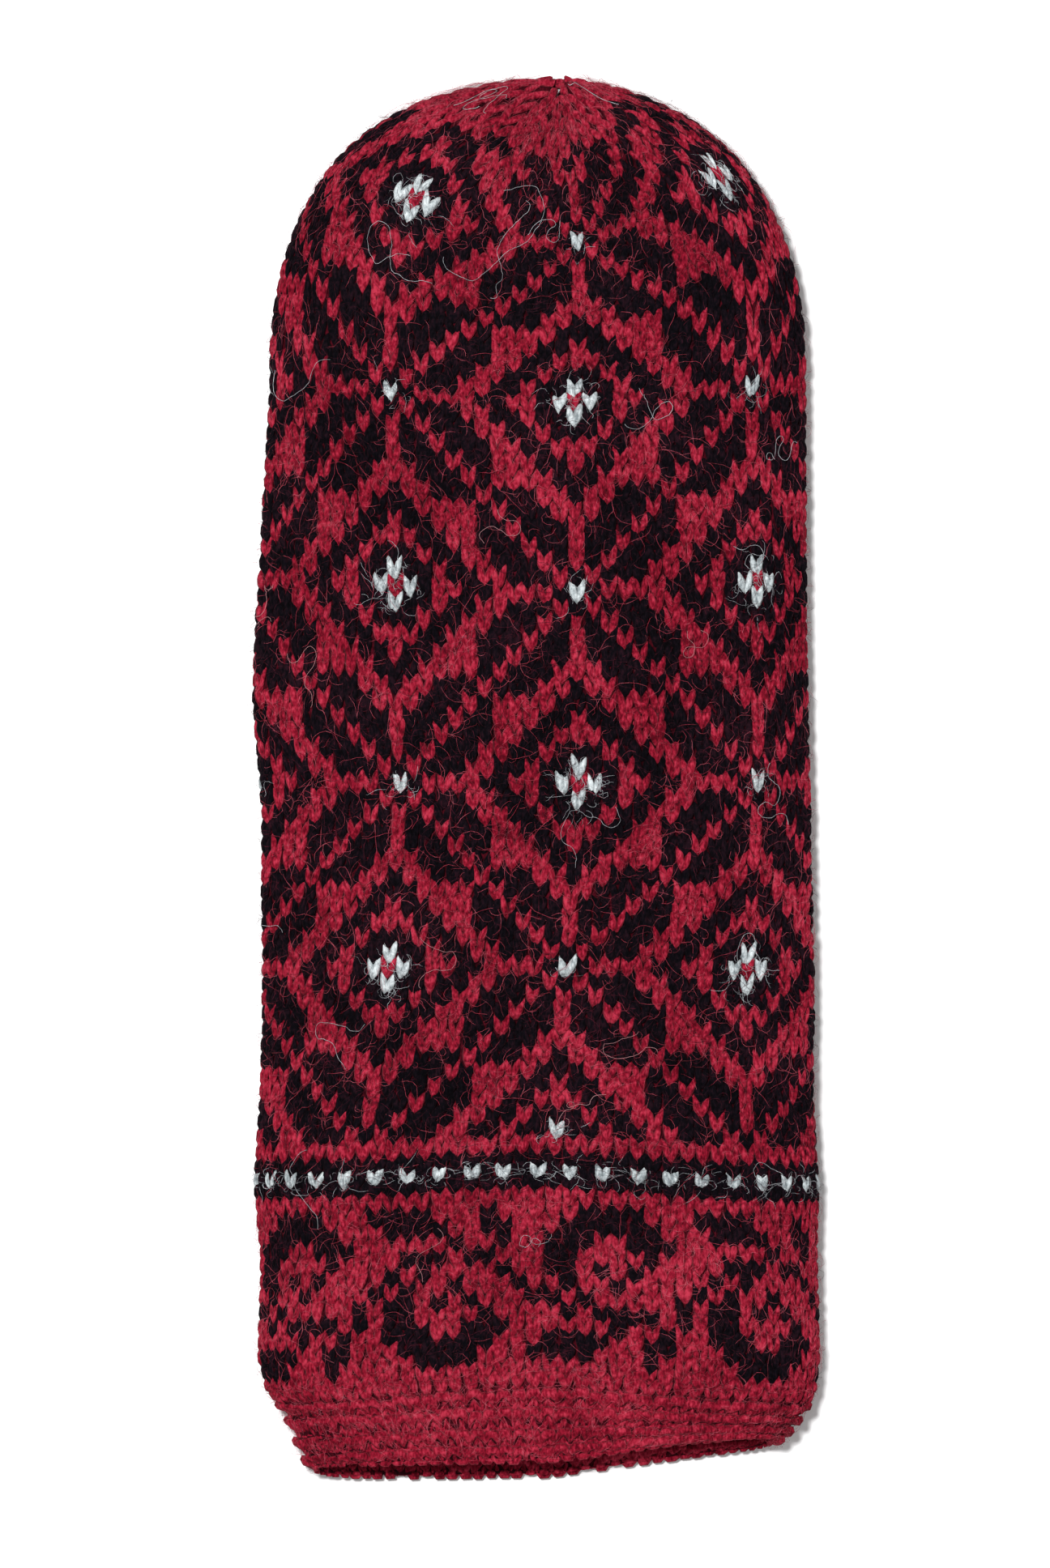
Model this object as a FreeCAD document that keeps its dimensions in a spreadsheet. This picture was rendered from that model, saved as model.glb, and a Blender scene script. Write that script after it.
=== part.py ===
import FreeCAD, Part
import Sketcher
import math
import os

# A knitted mitten for the right hand, lying on its palm.
# X runs across the hand, +Y towards the fingertips and +Z up through the back of the hand.
# The origin is on the surface it lies on, under the middle of its box.
# The thumb is folded flat under the palm on the -X side and lifts the hand over it.

doc = FreeCAD.newDocument("knitted_mitten")

# ---------------------------------------------------------------- driving dimensions

DIMENSIONS = {
    "mitten_width": 105.8,
    "mitten_length": 259.0,
    "hand_thickness": 14.0,
    "fabric": 2.8,
    "pressed_flat": 0.4,
    "hand_width": 102.6,
    "mouth_width": 86.0,
    "welt_length": 15.0,
    "scroll_cuff_end": -73.2,
    "dotted_band_end": -65.0,
    "knuckle_fold": 56.0,
    "crown_start": 71.0,
    "crown_end": 127.7,
    "crown_length": 58.5,
    "crown_root_width": 100.0,
    "thumb_center": -28.0,
    "thumb_width": 40.0,
    "thumb_thickness": 9.8,
    "thumb_fabric": 2.5,
    "thumb_root": -8.0,
    "thumb_crown_start": 31.0,
    "thumb_end": 51.4,
    "fold_gap": 0.3,
    "drape_inner_edge": 0.0,
    "drape_outer_edge": 42.0,
    "drape_cuff_end": -60.0,
    "drape_thumb_root": -20.0,
    "drape_thumb_tip": 53.0,
    "drape_crown_end": 108.0,
    "yarn_diameter": 1.8,
    "cast_on_diameter": 2.6,
    "tail_length": 36.0,
    "tail_clearance": 0.25,
}

sheet = doc.addObject("Spreadsheet::Sheet", "Dimensions")
for row, (alias, value) in enumerate(DIMENSIONS.items(), start=1):
    sheet.set(f"A{row}", alias)
    sheet.set(f"B{row}", str(value))
    sheet.setAlias(f"B{row}", alias)
doc.recompute()


def size(alias):
    """A driving dimension, read back from the sheet."""
    return float(sheet.get(alias))


MOUTH_Y = -size("mitten_length") / 2 + size("cast_on_diameter") / 2
WELT_END_Y = MOUTH_Y + size("welt_length")
HAND_START_Y = -45.0    # the cuff's width eases into the hand's up to here
WAIST_START_Y = 26.0    # the hand narrows a little from here to the crown
CROWN_TAPER = 2.5       # how late the crown's sides start to come in
CROWN_ROUNDNESS = 2.2   # how square its shoulders stay
HOLLOW_END_SHARE = 0.915   # the crown's share where the hollow stops, short of its tip
THUMB_TIP_THICKNESS = 4.6  # wool past the end of the thumb's hollow, where it is gathered
THUMB_WIDTH_REACH = 1.03   # the thumb's outline closes this far past its crown's length
THUMB_HEIGHT_REACH = 1.08  # and its thickness this far, so that its tip stays blunt
DRAPE_POINTS = 11       # places across a section where its drape is set
HAND_STATIONS = (22, 9)   # sections along the hand's straight part and round its crown
THUMB_STATIONS = (2, 7)
PLUG_FABRICS = 2.6      # fabric thicknesses the opening's plug reaches above the thumb
RING_RADIUS_SHARE = 0.6   # a gather's ring, in yarn diameters
GATHER_X = 4.4          # the crown closes this far off the middle
GATHER_LIFT = 0.1       # and this far up off the surface
PICK_REACH = 0.5        # how far from a corner a path is picked to round it
START_RADIUS = 1.0      # a sketch's circle before its diameter is tied

# Where each woven-in end starts, and the side of the mitten it lies to.
CUFF_TAIL_X = 30.0
CUFF_TAIL_RISE = 3.0
COLOR_TAIL_X = 20.0
COLOR_TAIL_Y = -100.0
CROWN_TAIL_X = 34.0
CROWN_TAIL_Y = 108.0
THUMB_TAIL_OFFSET = -11.5
THUMB_TAIL_Y = 38.0


# ---------------------------------------------------------------- the mitten's shape

def smooth_step(value, start, end):
    """0 before start, 1 after end, and a smooth rise between them."""
    share = min(max((value - start) / (end - start), 0.0), 1.0)
    return share * share * (3.0 - 2.0 * share)


def thumb_lift(x, y):
    """How far the folded thumb holds the palm up above the surface."""
    full = size("thumb_thickness") + size("fold_gap") + size("pressed_flat")
    across = 1.0 - smooth_step(x, size("drape_inner_edge"), size("drape_outer_edge"))
    before = smooth_step(y, size("drape_cuff_end"), size("drape_thumb_root"))
    after = 1.0 - smooth_step(y, size("drape_thumb_tip"), size("drape_crown_end"))
    return full * across * before * after


def crown_share(y):
    """How far along the crown a section is, from 0 to 1 at its rounded tip."""
    return max(0.0, (y - size("crown_start")) / size("crown_length"))


def hand_half_width(y):
    full = size("mitten_width") / 2
    hand = size("hand_width") / 2
    crown_root = size("crown_root_width") / 2
    if y > size("crown_start"):
        return crown_root * (1 - crown_share(y) ** CROWN_TAPER) ** (1 / CROWN_ROUNDNESS)
    if y > WAIST_START_Y:
        waist = (y - WAIST_START_Y) / (size("crown_start") - WAIST_START_Y)
        return hand - (hand - crown_root) * waist ** 2
    if y < WELT_END_Y:
        taper = (WELT_END_Y - y) / size("welt_length")
        return full - (full - size("mouth_width") / 2) * taper
    return full - (full - hand) * smooth_step(y, size("dotted_band_end"), HAND_START_Y)


def hand_half_height(y):
    return size("hand_thickness") / 2 * math.sqrt(1 - crown_share(y) ** 3)


def thumb_half_width(y):
    length = (size("thumb_end") - size("thumb_crown_start")) * THUMB_WIDTH_REACH
    share = max(0.0, (y - size("thumb_crown_start")) / length)
    return size("thumb_width") / 2 * (1 - share ** CROWN_TAPER) ** (1 / CROWN_ROUNDNESS)


def thumb_half_height(y):
    length = (size("thumb_end") - size("thumb_crown_start")) * THUMB_HEIGHT_REACH
    share = max(0.0, (y - size("thumb_crown_start")) / length)
    full = (size("thumb_thickness") + size("pressed_flat")) / 2
    return full * math.sqrt(1 - share ** 3)


def pillow_outline(center_x, y, half_width, half_height, middle_of):
    """One closed section: a flattened tube with a half round at each side.

    middle_of(x) is the height halfway between its top and its underside.
    """
    flat = half_width - half_height
    across = [center_x - flat + 2 * flat * index / (DRAPE_POINTS - 1)
              for index in range(DRAPE_POINTS)]

    def draped(places, offset):
        curve = Part.BSplineCurve()
        curve.interpolate([FreeCAD.Vector(x, y, middle_of(x) + offset) for x in places])
        return curve.toShape()

    def half_round(x, side):
        middle = middle_of(x)
        low = FreeCAD.Vector(x, y, middle - half_height)
        out = FreeCAD.Vector(x + side * half_height, y, middle)
        high = FreeCAD.Vector(x, y, middle + half_height)
        ends = (low, out, high) if side > 0 else (high, out, low)
        return Part.Arc(*ends).toShape()

    return Part.Wire([
        draped(across, -half_height),
        half_round(across[-1], 1),
        draped(across[::-1], half_height),
        half_round(across[0], -1),
    ])


def hand_outline(y, inset):
    """The hand's section at y, moved in by inset from its outside."""
    half_height = hand_half_height(y)

    def middle(x):
        return thumb_lift(x, y) + half_height - size("pressed_flat")

    return pillow_outline(0, y, hand_half_width(y) - inset, half_height - inset, middle)


def thumb_outline(y, inset):
    half_height = thumb_half_height(y)
    middle_z = size("thumb_thickness") - (size("thumb_thickness")
                                          + size("pressed_flat")) / 2

    def middle(x):
        return middle_z

    return pillow_outline(size("thumb_center"), y, thumb_half_width(y) - inset,
                          half_height - inset, middle)


def stations(start, straight_end, tip, counts):
    """Places of the sections: even along the tube, closing up round its tip."""
    straight_count, round_count = counts
    step = (straight_end - start) / straight_count
    places = [start + step * index for index in range(straight_count)]
    for index in range(round_count + 1):
        angle = math.pi / 2 * index / round_count
        places.append(straight_end + (tip - straight_end) * math.sin(angle))
    return places


def shape_feature(name, shape):
    feature = doc.addObject("Part::Feature", name)
    feature.Shape = shape
    return feature


def cut(name, base, tool):
    feature = doc.addObject("Part::Cut", name)
    feature.Base = base
    feature.Tool = tool
    return feature


def ruled_loft(outlines):
    """A solid through the sections, straight from each one to the next."""
    return Part.makeLoft(outlines, True, True)


def knitted_tube(name, outline, fabric, start, straight_end, tip, hollow_end, counts):
    """A tube closed at its tip, as the difference of its outside and its hollow."""
    outside = shape_feature(name + "_outside", ruled_loft(
        [outline(y, 0) for y in stations(start, straight_end, tip, counts)]))
    hollow_start = start - size("fabric")
    inside = shape_feature(name + "_inside", ruled_loft(
        [outline(y, fabric)
         for y in stations(hollow_start, straight_end, hollow_end, counts)]))
    return cut(name + "_shell", outside, inside)


# ---------------------------------------------------------------- the knitted sections

def slab(name, start, end):
    """A block from start to end along Y, wider and taller than the mitten."""
    block = doc.addObject("Part::Box", name)
    block.setExpression("Length", "Dimensions.mitten_width * 2")
    block.setExpression("Height", "Dimensions.hand_thickness * 3")
    block.setExpression("Width", f"({end}) - ({start})")
    block.setExpression("Placement.Base.x", "-Dimensions.mitten_width")
    block.setExpression("Placement.Base.y", start)
    return block


def knitted_section(name, shell, start, end):
    """The rounds of a knitted tube between two places along Y."""
    feature = doc.addObject("Part::Common", name)
    feature.Base = shell
    feature.Tool = slab(name + "_rounds", start, end)
    feature.Label = name
    return feature


hand_shell = knitted_tube(
    "hand", hand_outline, size("fabric"), MOUTH_Y, size("crown_start"), size("crown_end"),
    size("crown_start") + size("crown_length") * HOLLOW_END_SHARE, HAND_STATIONS)
thumb_shell = knitted_tube(
    "thumb", thumb_outline, size("thumb_fabric"), size("thumb_root") + size("fold_gap"),
    size("thumb_crown_start"), size("thumb_end"),
    size("thumb_end") - THUMB_TIP_THICKNESS, THUMB_STATIONS)

MOUTH = "-Dimensions.mitten_length / 2 + Dimensions.cast_on_diameter / 2"
WELT_END = MOUTH + " + Dimensions.welt_length"
HALF_GAP = "Dimensions.fold_gap / 2"

garter_welt = knitted_section("garter_welt", hand_shell,
                              MOUTH + " + Dimensions.cast_on_diameter / 2", WELT_END)
scroll_cuff = knitted_section("scroll_cuff", hand_shell, WELT_END,
                              "Dimensions.scroll_cuff_end")
dotted_band = knitted_section("dotted_band", hand_shell, "Dimensions.scroll_cuff_end",
                              "Dimensions.dotted_band_end")
hand_tube = knitted_section("hand_tube", hand_shell, "Dimensions.dotted_band_end",
                            "Dimensions.knuckle_fold - " + HALF_GAP)
finger_section = knitted_section("finger_section", hand_shell,
                                 "Dimensions.knuckle_fold + " + HALF_GAP,
                                 "Dimensions.crown_start")
crown = knitted_section("crown", hand_shell, "Dimensions.crown_start",
                        "Dimensions.mitten_length / 2")
thumb_tube = knitted_section("thumb_tube", thumb_shell, "Dimensions.thumb_root",
                             "Dimensions.thumb_crown_start")
thumb_crown = knitted_section("thumb_crown", thumb_shell, "Dimensions.thumb_crown_start",
                              "Dimensions.mitten_length / 2")


# ---------------------------------------------------------------- the thumb opening

def body_plane(body, role):
    return [plane for plane in body.Origin.OriginFeatures if plane.Role == role][0]


def new_body(name):
    body = doc.addObject("PartDesign::Body", name)
    body.Label = name
    return body


def new_sketch(body, name, role, offset):
    sketch = body.newObject("Sketcher::SketchObject", name)
    sketch.AttachmentSupport = (body_plane(body, role), "")
    sketch.MapMode = "FlatFace"
    sketch.AttachmentOffset = FreeCAD.Placement(offset, FreeCAD.Rotation())
    return sketch


def slot_sketch(body, name, role, offset, half_length, radius):
    """A closed slot about the sketch's origin, its size bound to two expressions."""
    sketch = new_sketch(body, name, role, offset)
    axis = FreeCAD.Vector(0, 0, 1)
    quarter = math.pi / 2
    reach = size("thumb_width") / 2
    rounding = size("thumb_thickness") / 2
    left = FreeCAD.Vector(-reach, 0, 0)
    right = FreeCAD.Vector(reach, 0, 0)
    up = FreeCAD.Vector(0, rounding, 0)
    sketch.addGeometry(Part.LineSegment(left - up, right - up))
    sketch.addGeometry(Part.ArcOfCircle(Part.Circle(right, axis, rounding),
                                        -quarter, quarter))
    sketch.addGeometry(Part.LineSegment(right + up, left + up))
    sketch.addGeometry(Part.ArcOfCircle(Part.Circle(left, axis, rounding),
                                        quarter, 3 * quarter))
    tie = Sketcher.Constraint
    for first, last in ((0, 1), (1, 2), (2, 3), (3, 0)):
        sketch.addConstraint(tie("Tangent", first, 2, last, 1))
    sketch.addConstraint(tie("Horizontal", 0))
    sketch.addConstraint(tie("Symmetric", 1, 3, 3, 3, -1, 1))
    sketch.addConstraint(tie("PointOnObject", 1, 3, -1))
    reach_tie = sketch.addConstraint(tie("DistanceX", -1, 1, 1, 3, reach))
    sketch.setExpression(f"Constraints[{reach_tie}]", f"({half_length}) - ({radius})")
    radius_tie = sketch.addConstraint(tie("Radius", 1, rounding))
    sketch.setExpression(f"Constraints[{radius_tie}]", radius)
    return sketch


def opening_plug(name, inset):
    """A slot-shaped plug through the palm, as large as the thumb's root less an inset."""
    plug = new_body(name)
    outline = slot_sketch(plug, name + "_outline", "XY_Plane", FreeCAD.Vector(0, 0, 0),
                          f"Dimensions.thumb_width / 2 - {inset}",
                          f"Dimensions.thumb_thickness / 2 - {inset}")
    pad = plug.newObject("PartDesign::Pad", name + "_pad")
    pad.Profile = outline
    pad.setExpression("Length", "Dimensions.thumb_thickness"
                                f" + Dimensions.fabric * {PLUG_FABRICS}")
    plug.setExpression("Placement.Base.x", "Dimensions.thumb_center")
    plug.setExpression("Placement.Base.y",
                       "Dimensions.thumb_root - Dimensions.thumb_thickness / 2")
    return plug


opening_outside = opening_plug("opening_outside", "0")
opening_inside = opening_plug("opening_inside", "Dimensions.thumb_fabric")

lower_hand = cut("lower_hand", hand_tube, opening_outside)
lower_hand.Label = "lower_hand"

pickup_wall = doc.addObject("Part::Common", "pickup_wall")
pickup_wall.Base = hand_tube
pickup_wall.Tool = opening_outside
thumb_pickup_round = cut("thumb_pickup_round", pickup_wall, opening_inside)
thumb_pickup_round.Label = "thumb_pickup_round"


# ---------------------------------------------------------------- edge, gathers and yarn ends

def round_profile(body, name, role, offset, diameter):
    """A circle about the sketch's origin, its diameter bound to an expression."""
    sketch = new_sketch(body, name, role, offset)
    center = FreeCAD.Vector(0, 0, 0)
    sketch.addGeometry(Part.Circle(center, FreeCAD.Vector(0, 0, 1), START_RADIUS))
    sketch.addConstraint(Sketcher.Constraint("Coincident", 0, 3, -1, 1))
    girth = sketch.addConstraint(Sketcher.Constraint("Diameter", 0, 2 * START_RADIUS))
    sketch.setExpression(f"Constraints[{girth}]", diameter)
    return sketch


def cast_on_rope():
    """The rope of cast-on loops that finishes the mouth."""
    rope = new_body("cast_on_edge")
    middle = size("hand_thickness") / 2 - size("pressed_flat")
    half_width = size("mouth_width") / 2 - size("fabric") / 2
    half_height = middle - size("cast_on_diameter") / 2
    path = slot_sketch(rope, "cast_on_path", "XZ_Plane",
                       FreeCAD.Vector(0, middle, -MOUTH_Y),
                       "Dimensions.mouth_width / 2 - Dimensions.fabric / 2",
                       "Dimensions.hand_thickness / 2 - Dimensions.pressed_flat"
                       " - Dimensions.cast_on_diameter / 2")
    start = FreeCAD.Vector(MOUTH_Y, middle - half_height, -(half_width - half_height))
    loop = round_profile(rope, "cast_on_loop", "YZ_Plane", start,
                         "Dimensions.cast_on_diameter")
    pipe = rope.newObject("PartDesign::AdditivePipe", "cast_on_pipe")
    pipe.Profile = loop
    pipe.Spine = path
    return rope


def gather_ring(name, x, y, z):
    """The yarn end drawn tight through the last stitches."""
    ring = doc.addObject("Part::Torus", name)
    ring.setExpression("Radius2", "Dimensions.yarn_diameter / 2")
    ring.setExpression("Radius1", f"Dimensions.yarn_diameter * {RING_RADIUS_SHARE}")
    ring.Placement = FreeCAD.Placement(
        FreeCAD.Vector(x, y, z), FreeCAD.Rotation(FreeCAD.Vector(1, 0, 0), 90))
    ring.Label = name
    return ring


def yarn_tail(name, x, y, z, direction):
    """A yarn end woven along the wrong side, as a run with two gentle turns."""
    tail = new_body(name)
    path = new_sketch(tail, name + "_path", "XY_Plane", FreeCAD.Vector(0, 0, 0))
    third = size("tail_length") / 3
    sway = size("yarn_diameter")
    corners = [FreeCAD.Vector(0, 0, 0), FreeCAD.Vector(sway, third, 0),
               FreeCAD.Vector(-sway, 2 * third, 0), FreeCAD.Vector(0, 3 * third, 0)]
    for first, last in zip(corners, corners[1:]):
        path.addGeometry(Part.LineSegment(first, last))
    for joint in range(len(corners) - 2):
        path.addConstraint(Sketcher.Constraint("Coincident", joint, 2, joint + 1, 1))
    pick = FreeCAD.Vector(0, PICK_REACH, 0)
    path.fillet(0, 1, corners[1] - pick, corners[1] + pick, third / 2)
    path.fillet(1, 2, corners[2] - pick, corners[2] + pick, third / 2)
    end = round_profile(tail, name + "_end", "XZ_Plane", FreeCAD.Vector(0, 0, 0),
                        "Dimensions.yarn_diameter")
    pipe = tail.newObject("PartDesign::AdditivePipe", name + "_pipe")
    pipe.Profile = end
    pipe.Spine = path
    turn = 0 if direction > 0 else 180
    tail.Placement = FreeCAD.Placement(FreeCAD.Vector(x, y, z),
                                       FreeCAD.Rotation(FreeCAD.Vector(0, 0, 1), turn))
    return tail


def lining_height(x, y):
    """The height of a woven-in end that lies on the inside of the palm."""
    return (thumb_lift(x, y) - size("pressed_flat") + size("fabric")
            + size("yarn_diameter") / 2 + size("tail_clearance"))


cast_on_edge = cast_on_rope()

yarn_radius = size("yarn_diameter") / 2
ring_reach = size("yarn_diameter") * RING_RADIUS_SHARE + yarn_radius
crown_gather = gather_ring("crown_gather", GATHER_X, size("crown_end") + yarn_radius,
                           ring_reach + GATHER_LIFT)
thumb_gather = gather_ring("thumb_gather", size("thumb_center"),
                           size("thumb_end") + yarn_radius, size("thumb_thickness") / 2)

# Each end lies as high as the palm's inside is under its highest place.
cuff_z = lining_height(CUFF_TAIL_X, MOUTH_Y)
crown_tail_edge = CROWN_TAIL_X - size("yarn_diameter") - yarn_radius
crown_z = lining_height(crown_tail_edge, size("crown_start"))
thumb_z = (size("thumb_fabric") - size("pressed_flat") + yarn_radius
           + size("tail_clearance"))
cast_on_tail = yarn_tail("cast_on_tail", CUFF_TAIL_X, MOUTH_Y + CUFF_TAIL_RISE, cuff_z, 1)
black_tail = yarn_tail("black_tail", COLOR_TAIL_X, COLOR_TAIL_Y, cuff_z, 1)
white_tail = yarn_tail("white_tail", -COLOR_TAIL_X, COLOR_TAIL_Y, cuff_z, 1)
crown_tail = yarn_tail("crown_tail", CROWN_TAIL_X, CROWN_TAIL_Y, crown_z, -1)
thumb_tail = yarn_tail("thumb_tail", size("thumb_center") + THUMB_TAIL_OFFSET,
                       THUMB_TAIL_Y, thumb_z, -1)

# ---------------------------------------------------------------- check and write

PIECES = [
    cast_on_edge, garter_welt, scroll_cuff, dotted_band, lower_hand, thumb_pickup_round,
    finger_section, crown, crown_gather, thumb_tube, thumb_crown, thumb_gather,
    cast_on_tail, black_tail, white_tail, crown_tail, thumb_tail,
]

doc.recompute()
for item in doc.Objects:
    if "Invalid" in item.State or "Error" in item.State:
        raise RuntimeError(f"{item.Label} failed: {item.State}")

os.makedirs("parts", exist_ok=True)
for piece in PIECES:
    shape = piece.Shape
    if shape.isNull() or not shape.isValid() or not shape.Solids:
        raise RuntimeError(f"{piece.Label} is not a valid solid")
    box = shape.optimalBoundingBox(False, False)
    print(f"{piece.Label:20s} solids {len(shape.Solids)} volume {shape.Volume:9.1f} mm3  "
          f"x {box.XMin:7.2f} {box.XMax:7.2f}  y {box.YMin:7.2f} {box.YMax:7.2f}  "
          f"z {box.ZMin:6.2f} {box.ZMax:6.2f}")
    shape.exportStep(f"parts/{piece.Label}.step")
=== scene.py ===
import bpy
import numpy as np
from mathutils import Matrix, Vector


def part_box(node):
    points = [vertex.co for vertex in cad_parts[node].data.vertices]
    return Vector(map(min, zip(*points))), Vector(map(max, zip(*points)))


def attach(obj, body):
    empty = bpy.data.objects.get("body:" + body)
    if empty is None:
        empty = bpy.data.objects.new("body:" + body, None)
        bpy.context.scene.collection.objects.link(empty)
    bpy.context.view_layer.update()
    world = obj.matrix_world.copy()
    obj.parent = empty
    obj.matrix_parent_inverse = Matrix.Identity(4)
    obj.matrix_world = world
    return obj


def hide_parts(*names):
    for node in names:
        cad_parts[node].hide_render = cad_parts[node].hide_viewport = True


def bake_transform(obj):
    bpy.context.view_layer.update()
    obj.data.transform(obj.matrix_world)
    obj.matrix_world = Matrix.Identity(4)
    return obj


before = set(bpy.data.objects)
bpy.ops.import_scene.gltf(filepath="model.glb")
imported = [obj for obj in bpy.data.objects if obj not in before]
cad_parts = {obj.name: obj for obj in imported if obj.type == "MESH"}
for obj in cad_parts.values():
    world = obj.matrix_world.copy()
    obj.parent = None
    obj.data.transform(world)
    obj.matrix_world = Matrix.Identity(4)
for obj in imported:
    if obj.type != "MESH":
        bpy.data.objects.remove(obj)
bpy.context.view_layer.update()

MM = 0.001
rng = np.random.default_rng(7)

# ---------------------------------------------------------------- sizes, from the frame

thumb_low, thumb_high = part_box("thumb_tube")
thumb_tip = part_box("thumb_crown")[1].y
crown_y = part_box("crown")[0].y
slot_low, slot_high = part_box("thumb_pickup_round")
gather_low, gather_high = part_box("crown_gather")
GATHER_X = (gather_low.x + gather_high.x) / 2
CROWN_LENGTH = 58.5 * MM
CROWN_TAPER = 2.5
CROWN_ROUNDNESS = 2.2

AROUND = 80            # stitches in a round of the hand
THUMB_AROUND = 32      # stitches in a round of the thumb
FULLNESS = 2.7         # how square the flattened tube's sides are
STITCH = 2.82 * MM
PROUD = 0.85 * MM      # how far the stitches stand out of the surface they're set on
FLOOR_FUZZ = 0.1 * MM  # loose fibres under the mitten are pressed flat on the floor

# Rounds of the hand, from the mouth up: (round, height of its lower edge up the middle, mm).
WELT, PLAIN, SCROLL, STRIPE, LATTICE = 0, 4, 6, 18, 22
KNUCKLES, CROWN, TIP = 58, 74, 93
LAST_FULL_ROUND = 84   # above it each round has fewer stitches than the one below
DECREASES = 9
ROUND_HEIGHTS = [(0, -128.3), (0.5, -126.5), (1.5, -122.8), (2.5, -118.4), (3.5, -114.7),
                 (PLAIN, -113.2), (SCROLL, -108.3), (17, -79.5), (STRIPE, -76.6),
                 (21, -70.2), (LATTICE, -67.2), (33.5, -35.6), (45.5, -2.2),
                 (57.5, 32.9), (69.5, 68.2), (81.5, 98.0), (TIP, 126.0)]

# How much higher a round lies at the mitten's left and right side than up the middle, mm.
ROUND_BOWS = [(0, -0.5, 4.5), (3, -2.2, -2.4), (SCROLL, -4.4, -4.6), (19.5, -2.0, -2.6),
              (33.5, -0.8, -1.0), (45.5, 0.3, 0.3), (57.5, 2.6, 2.6), (69.5, 3.3, 3.3)]

# How far the middle of the back has wandered round the tube, in stitches.
ROUND_LEANS = [(5, -1.15), (20, -0.90), (33.5, -0.10), (45.5, 0.76), (57.5, 0.58),
               (69.5, 0.50), (81.5, 0.30), (TIP, 0)]

# How much wider than even the stitches are up the middle, left and right of it.
ROUND_SPREADS = [(5, 0.16, 0.18), (20, 0.16, 0.18), (33.5, 0.07, 0.12), (45.5, 0.06, 0.14),
                 (57.5, 0.07, 0.17), (69.5, 0.14, 0.13), (81.5, 0.28, 0.26),
                 (TIP, 0.30, 0.30)]

# The outline: (height, half width on the left, on the right), mm.
OUTLINE = [(-129, 42.0, 38.5), (-125, 44.2, 43.5), (-122, 45.4, 47.2), (-118, 47.2, 50.6),
           (-113.5, 50.3, 52.4), (-108, 51.7, 53.0), (-90, 51.1, 52.5), (-76, 52.4, 52.8),
           (-60, 51.4, 51.8), (-42, 50.7, 52.0), (-5, 50.8, 51.3), (14, 52.4, 50.8),
           (28, 51.9, 50.6), (60, 49.9, 50.4), (71, 49.4, 50.5)]

MOTIF_SHIFT = 2        # the middle flower's column, from the middle of the back
MOTIF = 12             # stitches from a flower to the next dot, and rounds too
CHART_START = 21       # the round of a dot's row, from which the lattice is counted

# One quarter of the lattice: a flower in the first corner and a dot in the second.
# r is red, k black and w white. Rows run up from the flower, columns out to the side.
LATTICE_CHART = [
    "rwkrrkkrrrrkw",
    "wkkrkkrrkkkrk",
    "kkrkkrrkkkrkr",
    "rrkkrrkkkrkkr",
    "rkkrrrkkrkkkr",
    "kkrrrrkrkkkrr",
    "krrkkkrkkkrrk",
]

# The scroll band, one repeat of it, top round first. A hash is a black stitch.
SCROLL_CHART = [
    "###...#.....####...#",
    "####..##...######...",
    "....#..#..###..###..",
    ".###.##...##....#...",
    "#.#....#..##.#.#....",
    ".#..#...#..#..#....#",
    "##.#.#...##.#.....#.",
    "##....#....#.####.#.",
    "###..###......#..#..",
    ".######...####..##..",
    "..####...####...#...",
]
SCROLL_SHIFT = -8      # stitches from the middle of the back to the repeat's first


# ---------------------------------------------------------------- the knitting's shape

def smooth_step(value, start, end):
    share = np.clip((value - start) / (end - start), 0, 1)
    return share * share * (3 - 2 * share)


def read_off(table, key, value):
    """The value beside key in a table of lines, taken straight between its lines."""
    return np.interp(key, [line[0] for line in table], [line[value] for line in table])


THUMB_CLEAR = 0.3 * MM             # between the folded thumb and the fabric over it
LIFT_ENDS_X = (0.0, 42 * MM)       # across the hand, where its lift dies away
LIFT_STARTS_Y = (-60 * MM, -20 * MM)
LIFT_ENDS_Y = (53 * MM, 108 * MM)


def thumb_lift(x, y):
    """How far the folded thumb holds the hand up above the floor."""
    full = thumb_high.z + THUMB_CLEAR
    across = 1 - smooth_step(x, *LIFT_ENDS_X)
    before = smooth_step(y, *LIFT_STARTS_Y)
    after = 1 - smooth_step(y, *LIFT_ENDS_Y)
    return full * across * before * after


def crown_share(y):
    return np.clip((y - crown_y) / CROWN_LENGTH, 0, 1)


def half_width(y, across):
    crown = (1 - crown_share(y) ** CROWN_TAPER) ** (1 / CROWN_ROUNDNESS)
    side = np.where(across < 0, read_off(OUTLINE, y / MM, 1), read_off(OUTLINE, y / MM, 2))
    return side * MM * crown - PROUD


def section_table(width, height, count):
    """Places round a flattened tube's section, as shares of its half sizes.

    The first is the middle of the back and they run towards +X. Stitches at the rounded
    sides are narrower than those on the flat of it.
    """
    angle = np.linspace(0, 2 * np.pi, 4001)
    power = 2 / FULLNESS
    x = width * np.sign(np.sin(angle)) * np.abs(np.sin(angle)) ** power
    z = height * np.sign(np.cos(angle)) * np.abs(np.cos(angle)) ** power
    length = np.concatenate([[0], np.cumsum(np.hypot(np.diff(x), 0.5 * np.diff(z)))])
    even = np.linspace(0, length[-1], 40 * count + 1)
    return (np.interp(even, length, x) / width, np.interp(even, length, z) / height)


HAND_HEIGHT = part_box("scroll_cuff")[1].z / 2 - PROUD
HAND_TABLE = section_table(51 * MM, HAND_HEIGHT, AROUND)
THUMB_WIDTH = (thumb_high.x - thumb_low.x) / 2 - PROUD
THUMB_HEIGHT = (thumb_high.z - thumb_low.z) / 2 - PROUD
THUMB_X = (thumb_high.x + thumb_low.x) / 2
THUMB_TABLE = section_table(THUMB_WIDTH, THUMB_HEIGHT, THUMB_AROUND)


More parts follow.
